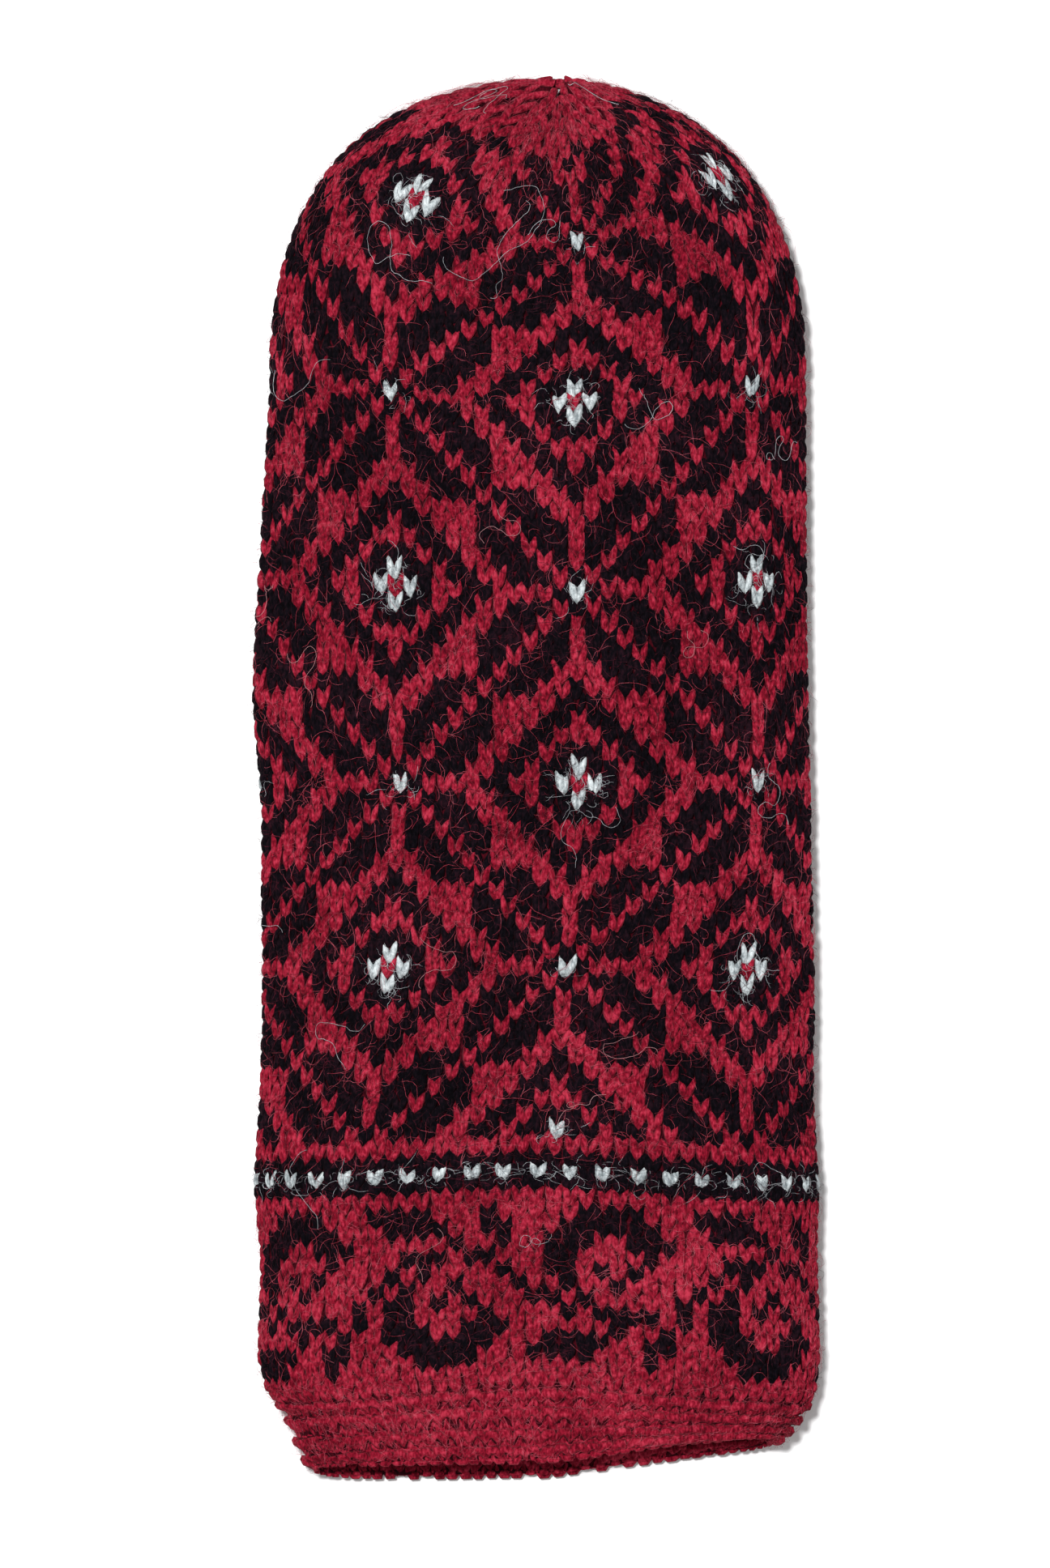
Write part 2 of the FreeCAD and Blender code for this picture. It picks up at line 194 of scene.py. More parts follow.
def look_up(table, column, around):
    steps = len(table[0]) - 1
    place = np.mod(column, around) / around * steps
    whole = np.arange(steps + 1)
    return np.interp(place, whole, table[0]), np.interp(place, whole, table[1])


CLOSING_START = 69 * MM     # above this height the crown's sides draw in
CLOSING_LENGTH = 57 * MM
SIDE_START, SIDE_RISE, SIDE_BEND = 72.3, 57.1, 1.62   # where its rounds' sides lie, mm
MOUTH_TILT, MOUTH_DROP = 1.7, 0.2   # the mouth's palm edge stands out past its back edge, mm
TIP_PINCH = 0.6             # how much narrower the last rounds are


def hand_point(column, row):
    """A place on the hand: stitches round from the middle of the back, rounds up."""
    lean = read_off(ROUND_LEANS, row, 1)
    across, up = look_up(HAND_TABLE, column + lean, AROUND)
    middle = read_off(ROUND_HEIGHTS, row, 1) * MM
    bow = np.where(across < 0, read_off(ROUND_BOWS, row, 1), read_off(ROUND_BOWS, row, 2))
    closing = np.clip((middle - CLOSING_START) / CLOSING_LENGTH, 0, 1)
    crown_side = (SIDE_START + SIDE_RISE * (1 - (1 - closing) ** SIDE_BEND)) * MM
    side = np.where(closing > 0, crown_side, middle + bow * MM)
    spread = np.where(across < 0, read_off(ROUND_SPREADS, row, 1),
                      read_off(ROUND_SPREADS, row, 2))
    across = across * (1 + spread * (1 - across ** 4))
    bend = np.where(closing > 0, 2.4, 1.4)
    y = middle + (side - middle) * np.sin(np.pi / 2 * np.abs(across)) ** bend
    mouth = np.clip((PLAIN - row) / PLAIN, 0, 1) ** 2
    y = y + (MOUTH_TILT * up - MOUTH_DROP) * mouth * MM
    width = half_width(side, across) * (1 - TIP_PINCH * closing ** 10)
    center = GATHER_X * closing * (1 - across ** 2 * (1 - closing ** 8))
    x = center + width * across
    height = HAND_HEIGHT * np.sqrt(1 - np.clip(crown_share(y), 0, 0.97) ** 3)
    z = thumb_lift(x, y) + PROUD + height * (1 + up)
    return np.stack([x, y, z], axis=-1)


LINING_DEPTH = 1.5


def lining_point(column, row):
    """A place on the inside of the mouth, its columns running the other way round."""
    place, _, _, out = frame_at(hand_point, -column, row)
    return place - out * LINING_DEPTH * MM


TAPER_START, TAPER_LENGTH = 0.62, 0.40   # of the thumb's length, where its tip closes


def thumb_point(column, row):
    """A place on the thumb, in the same terms. Its rounds start at its root."""
    across, up = look_up(THUMB_TABLE, column, THUMB_AROUND)
    root = thumb_low.y
    length = thumb_tip - root
    y = root + row * STITCH
    share = np.clip((y - root - length * TAPER_START) / (length * TAPER_LENGTH), 0, 0.995)
    width = THUMB_WIDTH * (1 - share ** CROWN_TAPER) ** (1 / CROWN_ROUNDNESS)
    height = THUMB_HEIGHT * np.sqrt(1 - share ** 3)
    z = PROUD + THUMB_HEIGHT + height * up
    return np.stack([THUMB_X + width * across, y, z], axis=-1)


GUSSET_ROUNDS = 5
HINGE_RISE = 0.15 * MM      # the hinge's line above the thumb
GUSSET_SLACK = 0.3 * MM
GUSSET_INNER = 0.6 * MM     # the reach of its side next to the hinge


def gusset_point(column, row):
    """The fold of fabric from the thumb opening's rim, round 0, down to the thumb's root."""
    across, up = look_up(THUMB_TABLE, column, THUMB_AROUND)
    hinge_y = slot_high.y
    hinge_z = thumb_high.z + HINGE_RISE
    reach = (THUMB_HEIGHT + GUSSET_SLACK) * (1 - up) + GUSSET_INNER
    turn = np.pi / 2 * row / GUSSET_ROUNDS
    y = hinge_y - reach * np.cos(turn)
    z = hinge_z - reach * np.sin(turn)
    return np.stack([THUMB_X + THUMB_WIDTH * across, y, z], axis=-1)


def frame_at(point_of, column, row):
    """The place, the two directions of a stitch and the way out of the fabric."""
    step = 0.2
    place = point_of(column, row)
    along = (point_of(column + step, row) - point_of(column - step, row)) / (2 * step)
    upward = (point_of(column, row + step) - point_of(column, row - step)) / (2 * step)
    out = np.cross(along, upward)
    out /= np.maximum(np.linalg.norm(out, axis=-1, keepdims=True), 1e-12)
    return place, along, upward, out


OPENING_HEIGHT = 5 * MM     # from the rim's lowest place up, so that the back is left whole


def in_thumb_opening(place, margin=0.4 * MM):
    x, y, z = place[..., 0], place[..., 1], place[..., 2]
    inside_x = np.abs(x - THUMB_X) < THUMB_WIDTH + margin
    inside_y = (y > slot_low.y - margin) & (y < slot_high.y + margin)
    return inside_x & inside_y & (z < slot_low.z + OPENING_HEIGHT)


# ---------------------------------------------------------------- the charts

def lattice_color(column, row):
    """The lattice's colour at a stitch, counted from the middle flower."""
    across = abs((column - MOTIF_SHIFT + MOTIF) % (2 * MOTIF) - MOTIF)
    up = abs((row - CHART_START + MOTIF) % (2 * MOTIF) - MOTIF)
    if up > 6:
        across, up = MOTIF - across, MOTIF - up
    return LATTICE_CHART[up][across]


def solid_from(column):
    """The round from which the crown is solid red: it rises a little over the middle dot."""
    if column < -7:
        return 87
    return 88 if column < 2 else 89


def hand_color(column, row):
    if row < SCROLL or row in (STRIPE - 1, CHART_START) or row >= solid_from(column):
        return "r"
    if row < STRIPE - 1:
        line = SCROLL_CHART[STRIPE - 2 - row]
        return "k" if line[(column - SCROLL_SHIFT) % len(line)] == "#" else "r"
    if row == STRIPE + 1:
        return "w" if column % 2 else "k"
    if row < CHART_START:
        return "k"
    return lattice_color(column, row)


def thumb_color(column, row):
    return "r" if row > 17 else lattice_color(column + MOTIF_SHIFT, row + CHART_START + 4)


# ---------------------------------------------------------------- meshes

def new_object(name, points, faces, material):
    mesh = bpy.data.meshes.new(name)
    mesh.from_pydata(points.reshape(-1, 3).tolist(), [], faces.tolist())
    mesh.polygons.foreach_set("use_smooth", [True] * len(mesh.polygons))
    mesh.materials.append(material)
    thing = bpy.data.objects.new(name, mesh)
    bpy.context.scene.collection.objects.link(thing)
    return thing


def strips(count, rings, sides):
    """The faces of count tubes of rings places each, their points one after another."""
    ring = np.arange(rings - 1)[:, None]
    side = np.arange(sides)[None, :]
    after = (side + 1) % sides
    one = np.stack([ring * sides + side, ring * sides + after,
                    (ring + 1) * sides + after, (ring + 1) * sides + side], axis=-1)
    start = (np.arange(count) * rings * sides)[:, None, None]
    return (one.reshape(1, -1, 4) + start).reshape(-1, 4)


def tubes(center, thickness, side_dir, out_dir, sides, flat=0.78):
    """Yarn as tubes: center is (count, rings, 3) and thickness (count, rings)."""
    angle = np.linspace(0, 2 * np.pi, sides, endpoint=False)
    ring = (np.cos(angle)[None, None, :, None] * side_dir[:, :, None, :]
            + flat * np.sin(angle)[None, None, :, None] * out_dir[:, :, None, :])
    return center[:, :, None, :] + ring * thickness[:, :, None, None]


def crossed(center, normal):
    """The two directions across a line of places, given the way out at each."""
    tangent = np.gradient(center, axis=1)
    tangent /= np.maximum(np.linalg.norm(tangent, axis=-1, keepdims=True), 1e-12)
    side = np.cross(tangent, normal)
    side /= np.maximum(np.linalg.norm(side, axis=-1, keepdims=True), 1e-12)
    return side, np.cross(side, tangent)


# A knit stitch is a V of two plump legs. Across is in stitches, up in rounds and out in
# metres. Each number is one ring along the right leg, and the left leg mirrors it.
LEG_ACROSS = np.array([0.03, 0.07, 0.18, 0.30, 0.39, 0.42])
LEG_UP = np.array([-0.54, -0.38, 0.02, 0.42, 0.78, 0.96])
LEG_OUT = np.array([-0.50, -0.05, 0.24, 0.22, -0.02, -0.50]) * MM
LEG_FAT = np.array([0.14, 0.52, 0.74, 0.72, 0.52, 0.14]) * MM
# A purl bump lies across the fabric, arched over the stitch below it.
BUMP_ACROSS = np.array([-0.54, -0.44, -0.18, 0.18, 0.44, 0.54])
BUMP_UP = np.array([-0.42, -0.10, 0.22, 0.22, -0.10, -0.42])
BUMP_OUT = np.array([-0.60, -0.05, 0.42, 0.42, -0.05, -0.60]) * MM
BUMP_FAT = np.array([0.20, 0.74, 1.00, 1.00, 0.74, 0.20]) * MM
SIDES = 6


def legs(point_of, cells, across, up, out, fat):
    """One leg of every stitch in cells, which are (column, round, width in stitches)."""
    wobble = rng.normal(0, 1, (6, len(cells), 1))
    column = cells[:, 0:1] + cells[:, 2:3] * across * (1 + 0.12 * wobble[0])
    column = column + 0.05 * wobble[1] + 0.05 * wobble[5] * up
    row = cells[:, 1:2] + 0.5 + up * (1 + 0.08 * wobble[2]) + 0.06 * wobble[3]
    place, along, _, normal = frame_at(point_of, column, row)
    width = np.linalg.norm(along, axis=-1) * cells[:, 2:3]
    thickness = fat * np.clip(width / STITCH, 0.42, 1.05) * (1 + 0.09 * wobble[4])
    center = place + normal * out[None, :, None]
    side, lift = crossed(center, normal)
    return tubes(center, thickness, side, lift, SIDES)


def knit(name, point_of, cells, material):
    """V stitches at the given cells, as one object."""
    cells = np.array(cells, float)
    points = np.concatenate([
        legs(point_of, cells, mirror * LEG_ACROSS, LEG_UP, LEG_OUT, LEG_FAT)
        for mirror in (1, -1)])
    return new_object(name, points, strips(len(points), len(LEG_UP), SIDES), material)


def purl(name, point_of, cells, material):
    """Purl bumps at the given cells, with the finer ones sunk between the ridges."""
    cells = np.array(cells, float)
    between = cells + np.array([0.5, -0.42, 0])
    points = np.concatenate([
        legs(point_of, cells, BUMP_ACROSS, BUMP_UP, BUMP_OUT, BUMP_FAT),
        legs(point_of, between, BUMP_ACROSS, -BUMP_UP, BUMP_OUT - 1.0 * MM,
             0.75 * BUMP_FAT)])
    return new_object(name, points, strips(len(points), len(BUMP_UP), SIDES), material)


def core_shell(name, point_of, around, start, end, material, opening=False):
    """The body of the fabric behind the stitches: a two-sided tube between two rounds."""
    columns = np.arange(0, around, 0.5)
    rows = np.linspace(start, end, int((end - start) * 2) + 2)
    grid_column, grid_row = np.meshgrid(columns, rows)
    place, _, _, out = frame_at(point_of, grid_column, grid_row)
    points = np.concatenate([place - out * 0.40 * MM, place - out * 1.4 * MM])
    tall, wide = grid_row.shape
    index = np.arange(tall * wide).reshape(tall, wide)
    after = np.roll(index, -1, axis=1)
    a, b, c, d = index[:-1], after[:-1], after[1:], index[1:]
    keep = np.ones(a.shape, bool)
    if opening:
        keep = ~in_thumb_opening(place)[:-1]
    outer = np.stack([a, b, c, d], axis=-1)[keep]
    inner = np.stack([d, c, b, a], axis=-1)[keep] + tall * wide
    rims = []
    for line, turn in ((0, 1), (tall - 1, -1)):
        first, second = index[line], after[line]
        ring = np.stack([first + tall * wide, second + tall * wide, second, first], axis=-1)
        rims.append(ring[:, ::turn])
    return new_object(name, points, np.concatenate([outer, inner, *rims]), material)


# ---------------------------------------------------------------- materials

def node(tree, kind, **values):
    made = tree.nodes.new(kind)
    for name, value in values.items():
        setattr(made, name, value)
    return made


def noise(tree, place, scale, detail, stretch=(1, 1, 1)):
    mapping = node(tree, "ShaderNodeMapping")
    mapping.inputs["Scale"].default_value = stretch
    made = node(tree, "ShaderNodeTexNoise")
    made.inputs["Scale"].default_value = scale
    made.inputs["Detail"].default_value = detail
    tree.links.new(place.outputs["Object"], mapping.inputs["Vector"])
    tree.links.new(mapping.outputs["Vector"], made.inputs["Vector"])
    return made


def mix(tree, first, second, share):
    blend = node(tree, "ShaderNodeMix", data_type="FLOAT")
    blend.inputs["Factor"].default_value = share
    tree.links.new(first, blend.inputs["A"])
    tree.links.new(second, blend.inputs["B"])
    return blend.outputs["Result"]


def wool(name, dark, color, light, sheen, tint, bump_height=0.00022):
    """Matt hairy wool: colour that varies along the yarn and across the cloth, fibres as
    fine drawn-out bumps, and a soft sheen."""
    material = bpy.data.materials.new(name)
    material.use_nodes = True
    tree = material.node_tree
    shader = tree.nodes["Principled BSDF"]
    shader.inputs["Roughness"].default_value = 0.95
    shader.inputs["Specular IOR Level"].default_value = 0.04
    shader.inputs["Sheen Weight"].default_value = sheen
    shader.inputs["Sheen Roughness"].default_value = 0.5
    shader.inputs["Sheen Tint"].default_value = (*tint, 1)
    place = node(tree, "ShaderNodeTexCoord")
    cloth = noise(tree, place, 60, 2)
    yarn = noise(tree, place, 620, 3)
    fibre = noise(tree, place, 2300, 3, stretch=(1, 0.45, 1))
    yarn_fibre = mix(tree, yarn.outputs["Fac"], fibre.outputs["Fac"], 0.6)
    shade = mix(tree, yarn_fibre, cloth.outputs["Fac"], 0.2)
    ramp = node(tree, "ShaderNodeValToRGB")
    ramp.color_ramp.elements[0].position = 0.40
    ramp.color_ramp.elements[0].color = (*dark, 1)
    ramp.color_ramp.elements[1].position = 0.62
    ramp.color_ramp.elements[1].color = (*light, 1)
    ramp.color_ramp.elements.new(0.5).color = (*color, 1)
    tree.links.new(shade, ramp.inputs["Fac"])
    tree.links.new(ramp.outputs["Color"], shader.inputs["Base Color"])
    bump = node(tree, "ShaderNodeBump")
    bump.inputs["Strength"].default_value = 0.8
    bump.inputs["Distance"].default_value = bump_height
    tree.links.new(yarn_fibre, bump.inputs["Height"])
    tree.links.new(bump.outputs["Normal"], shader.inputs["Normal"])
    return material


RED = wool("red_wool", (0.062, 0.0010, 0.005), (0.18, 0.005, 0.016), (0.35, 0.024, 0.048),
           0.10, (0.9, 0.25, 0.3))
BLACK = wool("black_wool", (0.0008, 0.0007, 0.0012), (0.0026, 0.0018, 0.0032),
             (0.012, 0.0036, 0.0065), 0.015, (0.7, 0.3, 0.4))
WHITE = wool("white_wool", (0.15, 0.175, 0.185), (0.33, 0.365, 0.375), (0.54, 0.58, 0.59),
             0.15, (1, 1, 1))
# The fabric's body behind the stitches, in dark maroon: partly the red and black yarn behind
# the stitches, partly painted shade in the gaps between them, kept as dark in the all-red
# parts.
CORE_YARN_AND_SHADE = wool("wool_core_and_painted_shade", (0.008, 0.0008, 0.0018), (0.030, 0.0016, 0.0042),
            (0.065, 0.003, 0.008), 0.03, (0.9, 0.25, 0.3))
RED_DOWN = wool("red_down", (0.16, 0.010, 0.022), (0.28, 0.035, 0.055), (0.42, 0.10, 0.13),
                0.15, (1, 0.5, 0.5))
DARK_DOWN = wool("dark_down", (0.006, 0.003, 0.005), (0.035, 0.006, 0.012),
                 (0.11, 0.012, 0.026), 0.1, (0.9, 0.4, 0.5))
WHITE_DOWN = wool("white_down", (0.16, 0.17, 0.18), (0.28, 0.29, 0.31), (0.50, 0.52, 0.54),
                  0.2, (1, 1, 1))
WOOLS = {"r": ("red", RED), "k": ("black", BLACK), "w": ("white", WHITE)}


# ---------------------------------------------------------------- down and stray hairs

def fibres(name, point_of, starts, lengths, width, heights, curl, material):
    """Loose fibres over the fabric, from (column, round) starts, as thin ribbons.

    Each wanders over the surface, bowed up from it by its height in heights.
    """
    count, rings = len(starts), 7
    heading = rng.uniform(0, 2 * np.pi, (count, 1))
    turns = np.cumsum(rng.normal(0, curl, (count, rings)), axis=1)
    bend = rng.normal(0, curl * 1.2, (count, 1)) * np.arange(rings)
    angle = heading + turns + bend
    step = (lengths / (rings - 1))[:, None] / STITCH
    column = starts[:, 0:1] + np.cumsum(np.cos(angle) * step, axis=1)
    row = np.clip(starts[:, 1:2] + np.cumsum(np.sin(angle) * step, axis=1), 0.1, TIP - 0.5)
    place, _, _, normal = frame_at(point_of, column, row)
    arch = np.sin(np.linspace(0.1, np.pi - 0.1, rings))[None, :]
    height = (0.35 * MM + heights[:, None] * arch + rng.normal(0, 0.08 * MM, column.shape))
    center = place + normal * height[..., None]
    center[..., 2] = np.maximum(center[..., 2], FLOOR_FUZZ)
    side, lift = crossed(center, normal)
    twist = rng.uniform(-0.9, 0.9, (count, 1, 1))
    flat = np.cos(twist) * side + np.sin(twist) * lift
    thin = width * np.array([0.3, 0.8, 1, 1, 1, 0.8, 0.3])[None, :, None]
    points = np.stack([center - flat * thin / 2, center + flat * thin / 2], axis=2)
    ring = np.arange(rings - 1)
    one = np.stack([2 * ring, 2 * ring + 1, 2 * ring + 3, 2 * ring + 2], axis=-1)
    faces = (one[None] + (np.arange(count) * rings * 2)[:, None, None]).reshape(-1, 4)
    return new_object(name, points, faces, material)


def stray_hair(point_of, column, row, heading, length, curl, height, low, high):
    """One long loose hair's middle line: a wandering path, with a loop or two."""
    rings = max(12, int(length / (0.55 * MM)))
    turn = np.cumsum(rng.normal(0, curl, rings)) * 0.55
    swing = np.sin(np.linspace(0, rng.uniform(4, 11), rings)) * curl * rng.uniform(2, 5)
    angle = heading + turn + swing
    step = length / rings / STITCH
    columns = column + np.cumsum(np.cos(angle)) * step
    rows = row + np.cumsum(np.sin(angle)) * step
    rows = low + 0.4 + np.abs(rows - low - 0.4)
    rows = high - 0.6 - np.abs(high - 0.6 - rows)
    place, _, _, normal = frame_at(point_of, columns[None], rows[None])
    lift = height * (0.7 + 0.5 * np.sin(np.linspace(0, rng.uniform(4, 9), rings)))
    center = place + normal * (1.0 * MM + lift)[None, :, None]
    center[..., 2] = np.maximum(center[..., 2], FLOOR_FUZZ)
    return center, normal


def hairs(name, lines, width, material):
    """Stray hairs as one mesh of thin three-sided tubes."""
    points, faces, count = [], [], 0
    for center, normal in lines:
        side, lift = crossed(center, normal)
        rings = center.shape[1]
        thickness = np.full((1, rings), width / 2)
        points.append(tubes(center, thickness, side, lift, 3, flat=1).reshape(-1, 3))
        faces.append(strips(1, rings, 3) + count)
        count += rings * 3
    return new_object(name, np.concatenate(points), np.concatenate(faces), material)


# ---------------------------------------------------------------- bodies


def bend_at_knuckles(thing):
    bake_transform(thing)


def join(thing, where):
    if where == "knuckles":
        bend_at_knuckles(thing)
    else:
        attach(thing, where)
    return thing


# Parts of the hand: (name, first round, round after the last, what it moves with).
# The knuckles part holds the rounds between hand and crown; it is baked in place and
# attached to no body.
SECTIONS = [("cuff", PLAIN, STRIPE, "hand"), ("stripe", STRIPE, CHART_START, "hand"),
            ("hand", CHART_START, KNUCKLES, "hand"),
            ("knuckles", KNUCKLES, CROWN, "knuckles"), ("crown", CROWN, TIP, "fingers")]
BACK_START = -24       # the column where each round of the hand begins, near the palm's edge


def hand_cells(first, last):
    """The stitches of some rounds, by colour. The crown's rounds have fewer and fewer."""
    groups = {"r": [], "k": [], "w": []}
    for row in range(first, last):
        left = AROUND - DECREASES * max(0, row - LAST_FULL_ROUND)
        for index in range(left):
            column = BACK_START + index * AROUND / left
            center = hand_point(np.array(column), np.array(row + 0.4))
            if not in_thumb_opening(center):
                letter = hand_color(round(column), row)
                groups[letter].append((column, row, AROUND / left))
    return groups


white_cells = []
for title, first, last, where in SECTIONS:
    for letter, cells in hand_cells(first, last).items():
        if cells:
            color, material = WOOLS[letter]
            name = f"knit_{color}_{title}"
            join(knit(name, hand_point, cells, material), where)
            if letter == "w":
                white_cells += [(cell, where) for cell in cells]

welt_cells = [(column, row, 1) for row in range(WELT, PLAIN) for column in range(AROUND)]
welt = join(purl("garter_ridges", hand_point, welt_cells, RED), "hand")

lining_cells = [(column, row, 1) for row in range(WELT, SCROLL) for column in range(AROUND)]
join(purl("mouth_lining", lining_point, lining_cells, RED), "hand")

core_hand = join(core_shell("core_hand", hand_point, AROUND, 0.1, KNUCKLES, CORE_YARN_AND_SHADE,
                            opening=True), "hand")
core_knuckles = join(core_shell("core_knuckles", hand_point, AROUND, KNUCKLES, CROWN, CORE_YARN_AND_SHADE),
                     "knuckles")
core_crown = join(core_shell("core_crown", hand_point, AROUND, CROWN, TIP - 0.2, CORE_YARN_AND_SHADE),
                  "fingers")

THUMB_ROUNDS = 21
for letter in "rkw":
    color, material = WOOLS[letter]
    cells = [(column, row, 1) for row in range(THUMB_ROUNDS)
             for column in range(THUMB_AROUND) if thumb_color(column, row) == letter]
    name = f"knit_{color}_thumb"
    join(knit(name, thumb_point, cells, material), "thumb")
core_thumb = join(core_shell("core_thumb", thumb_point, THUMB_AROUND, 0, THUMB_ROUNDS - 0.1,
                             CORE_YARN_AND_SHADE), "thumb")

# The gusset's body takes the core's dark maroon, so the fold at the thumb's root carries its
# painted shade.
gusset = core_shell("thumb_gusset", gusset_point, THUMB_AROUND, 0, GUSSET_ROUNDS, CORE_YARN_AND_SHADE)
gusset_knit = knit("thumb_gusset_knit", gusset_point,
                   [(column, row, 1) for row in range(GUSSET_ROUNDS)
                    for column in range(THUMB_AROUND)
                    if look_up(THUMB_TABLE, column, THUMB_AROUND)[1] < 0.4], RED)
for piece in (gusset, gusset_knit):
    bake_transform(piece)

# ---------------------------------------------------------------- yarn ends and gathers


def plied_yarn(name, path, square, radius, where, material):
    """Two plies twisted together along a flat path; square is the way across its plane."""
    count = len(path)
    tangent = np.gradient(path, axis=0)
    side = np.cross(tangent, square)
    side /= np.linalg.norm(side, axis=-1, keepdims=True)
    lift = np.broadcast_to(square, side.shape)
    length = np.concatenate([[0], np.cumsum(np.linalg.norm(np.diff(path, axis=0), axis=1))])
    turn = 2 * np.pi * length / (6 * radius)
    plies = []
    for start in (0, np.pi):
        center = path + radius * 0.48 * (np.cos(turn + start)[:, None] * side
                                         + np.sin(turn + start)[:, None] * lift)
        plies.append(center)
    center = np.stack(plies)
    normal = np.broadcast_to(lift, center.shape)
    across, up = crossed(center, normal)
    thickness = np.full((2, count), radius * 0.56)
    points = tubes(center, thickness, across, up, 8, flat=1)
    return join(new_object(name, points, strips(2, count, 8), material), where)


def tail_path(cad_name):
    """The middle line of a woven-in yarn end, from its CAD box: a run with two turns."""
    low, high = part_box(cad_name)
    share = np.linspace(0, 1, 90)
    sway = (high.x - low.x) / 2 - 0.9 * MM
    x = (low.x + high.x) / 2 + sway * np.sin(2 * np.pi * share)
    y = low.y + (high.y - low.y) * share
    return np.stack([x, y, np.full_like(x, (low.z + high.z) / 2)], axis=-1)


def ring_path(cad_name):
    low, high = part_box(cad_name)
    turn = np.linspace(0, 2 * np.pi, 49)
    reach = (high.x - low.x) / 2 - 0.9 * MM
    x = (low.x + high.x) / 2 + reach * np.cos(turn)
    z = (low.z + high.z) / 2 + reach * np.sin(turn)
    return np.stack([x, np.full_like(x, (low.y + high.y) / 2), z], axis=-1)


YARN = 0.9 * MM
UP, AHEAD = np.array([0.0, 0.0, 1.0]), np.array([0.0, 1.0, 0.0])
ENDS = [("cast_on_tail", tail_path, UP, "hand", "red"),
        ("black_tail", tail_path, UP, "hand", "black"),
        ("white_tail", tail_path, UP, "hand", "white"),
        ("crown_tail", tail_path, UP, "fingers", "red"),
        ("thumb_tail", tail_path, UP, "thumb", "red"),
        ("crown_gather", ring_path, AHEAD, "fingers", "red"),
        ("thumb_gather", ring_path, AHEAD, "thumb", "red")]
BY_NAME = dict(WOOLS.values())
for cad_name, path_of, square, where, color in ENDS:
    yarn = plied_yarn(cad_name + "_yarn", path_of(cad_name), square, YARN, where,
                      BY_NAME[color])
    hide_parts(cad_name)

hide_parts("cast_on_edge", "garter_welt")
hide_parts("scroll_cuff")
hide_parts("dotted_band")
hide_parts("lower_hand")
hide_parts("finger_section")
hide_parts("crown")
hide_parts("thumb_tube", "thumb_crown")
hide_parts("thumb_pickup_round")

# ---------------------------------------------------------------- down over the fabric

DOWN_PER_STITCH = 4.2
WHITE_DOWN_PER_STITCH = 16
OPENING_FUZZ_MARGIN = 6 * MM   # no down here, or the thumb would swing through it
# (name, first round, last round, what it moves with)
DOWN_PARTS = [("hand", 0.3, KNUCKLES - 0.5, "hand"),
              ("knuckles", KNUCKLES, CROWN - 0.5, "knuckles"),
              ("crown", CROWN + 1.5, TIP - 1.5, "fingers")]


def letter_at(start):
    return hand_color(int(round(start[0])), int(start[1]))


for title, first, last, where in DOWN_PARTS:
    count = int((last - first) * AROUND * DOWN_PER_STITCH)
    starts = np.stack([rng.uniform(BACK_START, BACK_START + AROUND, count),
                       rng.uniform(first, last, count)], axis=-1)
    letters = np.array([letter_at(start) for start in starts])
    places = hand_point(starts[:, 0], starts[:, 1])
    keep = ~in_thumb_opening(places, margin=OPENING_FUZZ_MARGIN)
    for letter, share, material in (("k", 0.8, DARK_DOWN), ("r", 1.0, RED_DOWN)):
        color = WOOLS[letter][0]
        chosen = starts[keep & (letters == letter) & (rng.uniform(0, 1, count) < share)]
        size = len(chosen)
        down = fibres(f"down_{color}_{title}", hand_point, chosen,
                      rng.gamma(3, 0.9, size) * MM + 1.4 * MM, 0.05 * MM,
                      rng.gamma(2, 0.22, size) * MM + 0.45 * MM, 0.30, material)
        join(down, where)

for where in ("hand", "knuckles", "fingers"):
    near = np.array([cell[:2] for cell, part in white_cells if part == where])
    starts = np.repeat(near, WHITE_DOWN_PER_STITCH, axis=0).astype(float)
    starts = starts + np.array([0.0, 0.5]) + rng.normal(0, 0.40, starts.shape)
    size = len(starts)
    down = fibres(f"down_white_{where}", hand_point, starts,
                  rng.gamma(2, 0.8, size) * MM + 1 * MM, 0.045 * MM,
                  rng.gamma(2, 0.2, size) * MM + 0.5 * MM, 0.35, WHITE_DOWN)
    join(down, where)

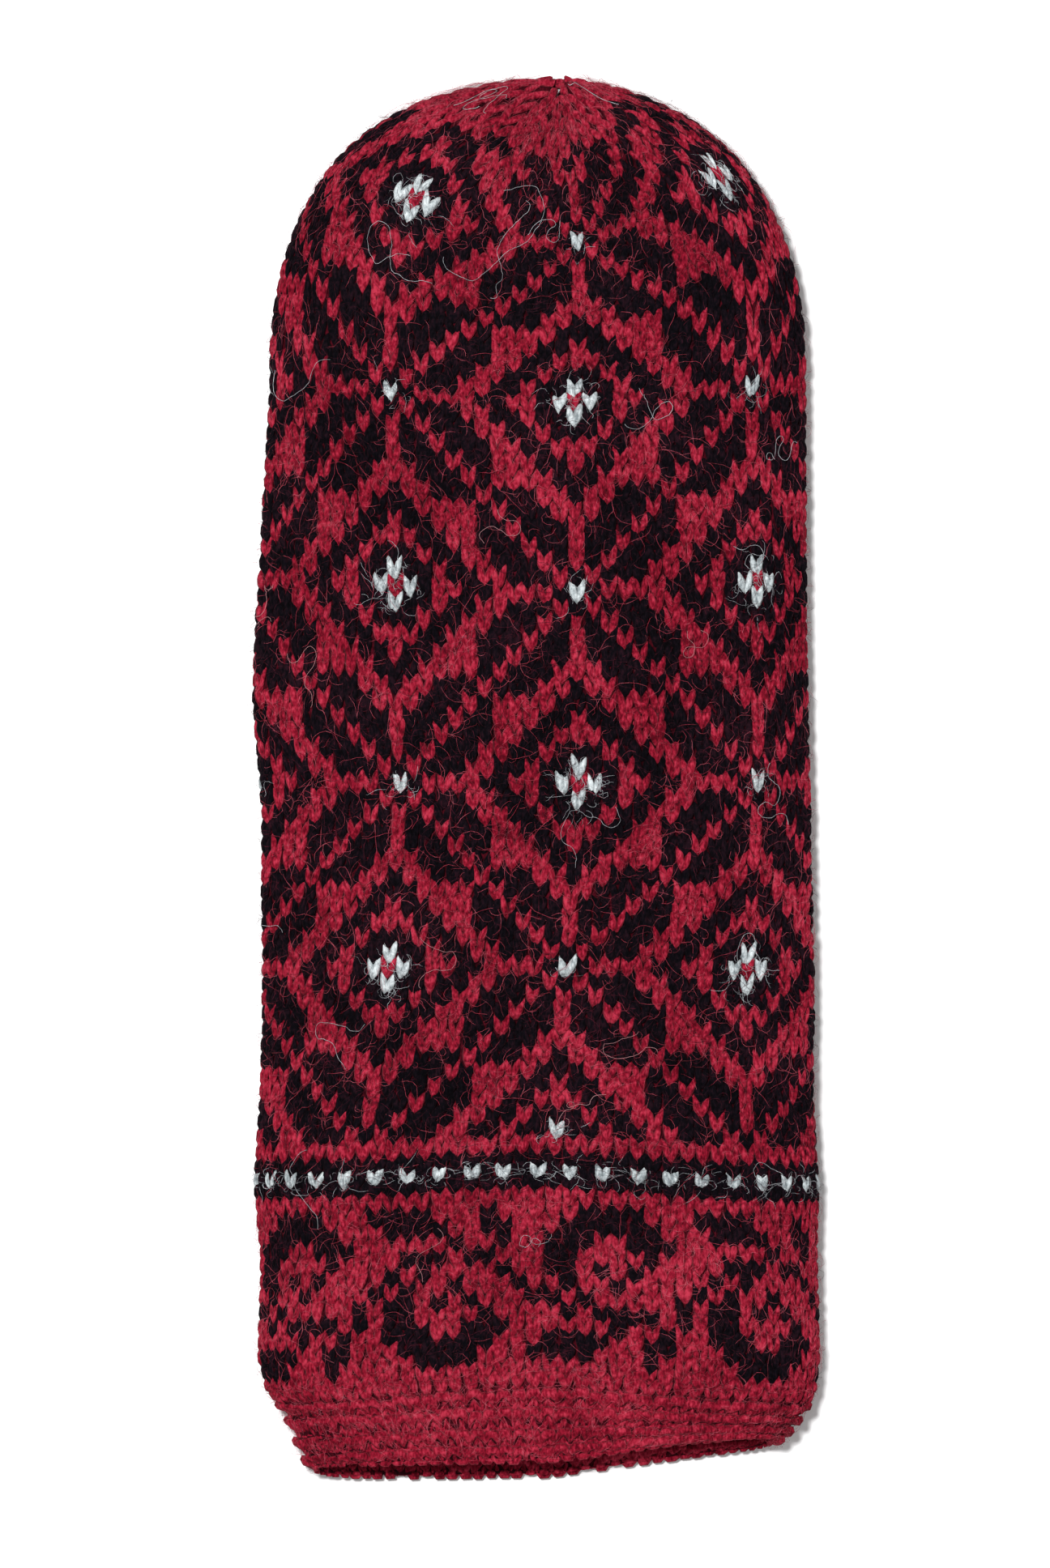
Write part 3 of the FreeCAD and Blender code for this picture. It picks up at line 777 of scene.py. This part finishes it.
# Long stray hairs: (column, round, heading in degrees, length in mm, curl, colour).
STRAYS = [(-7, 79, 200, 44, 0.42, "w"), (-9, 78, 170, 34, 0.55, "w"),
          (-4, 77, 10, 26, 0.50, "w"), (-14, 71, 190, 22, 0.30, "w"),
          (-2, 82, 60, 20, 0.55, "w"), (11, 92, 70, 12, 0.15, "w"),
          (-10, 90, 120, 22, 0.60, "w"), (-13, 88, 20, 18, 0.60, "w"),
          (12, 60, 300, 20, 0.5, "w"), (5, 68, 330, 24, 0.6, "w"),
          (-3, 63, 250, 18, 0.4, "p"), (9, 55, 200, 16, 0.4, "p"),
          (15, 47, 250, 24, 0.5, "w"), (-16, 50, 40, 20, 0.5, "p"),
          (2, 40, 60, 26, 0.5, "w"), (-8, 36, 320, 20, 0.5, "p"),
          (14, 33, 120, 22, 0.5, "w"), (8, 28, 80, 20, 0.6, "p"),
          (-12, 27, 100, 24, 0.5, "w"), (5, 25, 100, 20, 0.7, "p"),
          (-13, 16, 70, 20, 0.35, "w"), (-6, 12, 80, 14, 0.3, "p"),
          (1, 14, 20, 16, 0.8, "w"), (17, 20, 200, 20, 0.5, "w"),
          (-18, 36, 95, 26, 0.5, "w"), (-19, 55, 85, 24, 0.5, "p"),
          (18, 66, 100, 22, 0.5, "w"), (19, 40, 260, 22, 0.5, "p"),
          (30, 30, 90, 24, 0.5, "w"), (40, 50, 200, 26, 0.5, "p"),
          (36, 70, 120, 24, 0.5, "w"), (44, 84, 45, 22, 0.5, "w"),
          (44, 20, 80, 24, 0.5, "p"), (34, 12, 30, 20, 0.6, "w")]
PINK_HAIR = wool("pink_hair", (0.26, 0.10, 0.11), (0.34, 0.15, 0.16), (0.44, 0.22, 0.23),
                 0.2, (1, 0.8, 0.8))
for where, low, high in (("hand", 0, KNUCKLES), ("knuckles", KNUCKLES, CROWN),
                         ("fingers", CROWN, TIP)):
    for key, color, material in (("w", "white", WHITE_DOWN), ("p", "pink", PINK_HAIR)):
        lines = [stray_hair(hand_point, column, row, np.radians(heading), length * MM, curl,
                            0.5 * MM, low, high)
                 for column, row, heading, length, curl, letter in STRAYS
                 if letter == key and low <= row < high]
        if lines:
            name = f"hairs_{color}_{where}"
            join(hairs(name, lines, 0.085 * MM, material), where)

# ---------------------------------------------------------------- floor, light and camera


def add_floor():
    bpy.ops.mesh.primitive_plane_add(size=4, location=(0, 0, -0.0002))
    floor = bpy.context.object
    floor.name = "floor"
    material = bpy.data.materials.new("floor_white")
    material.use_nodes = True
    tree = material.node_tree
    shader = tree.nodes["Principled BSDF"]
    shader.inputs["Roughness"].default_value = 0.9
    place = node(tree, "ShaderNodeTexCoord")
    grain = noise(tree, place, 900, 3)
    ramp = node(tree, "ShaderNodeValToRGB")
    ramp.color_ramp.elements[0].color = (0.80, 0.80, 0.80, 1)
    ramp.color_ramp.elements[1].color = (0.84, 0.84, 0.84, 1)
    tree.links.new(grain.outputs["Fac"], ramp.inputs["Fac"])
    tree.links.new(ramp.outputs["Color"], shader.inputs["Base Color"])
    floor.data.materials.append(material)


def add_area(name, location, size, power):
    light = bpy.data.lights.new(name, "AREA")
    light.shape = "DISK"
    light.size = size
    light.energy = power
    lamp = bpy.data.objects.new(name, light)
    lamp.location = location
    lamp.rotation_euler = Vector(location).to_track_quat("Z", "Y").to_euler()
    bpy.context.scene.collection.objects.link(lamp)


def add_camera():
    """Straight above, with a long lens and the tall frame that the mitten nearly fills."""
    data = bpy.data.cameras.new("camera")
    camera = bpy.data.objects.new("camera", data)
    bpy.context.scene.collection.objects.link(camera)
    bpy.context.scene.camera = camera
    data.lens = 240
    data.sensor_width = 36
    tall = 290.4 * MM
    distance = tall / data.sensor_width * data.lens
    camera.location = (-1.9 * MM, -1.6 * MM, distance + 0.010)
    data.clip_end = 20


add_floor()
add_camera()
add_area("key", (-0.22, 0.20, 1.34), 0.22, 26.0)
add_area("fill", (0.4, -0.2, 1.2), 1.2, 2.0)
world = bpy.data.worlds.new("studio")
bpy.context.scene.world = world
world.use_nodes = True
world.node_tree.nodes["Background"].inputs["Color"].default_value = (1, 1, 1, 1)
world.node_tree.nodes["Background"].inputs["Strength"].default_value = 0.38
bpy.context.scene.view_settings.view_transform = "Standard"
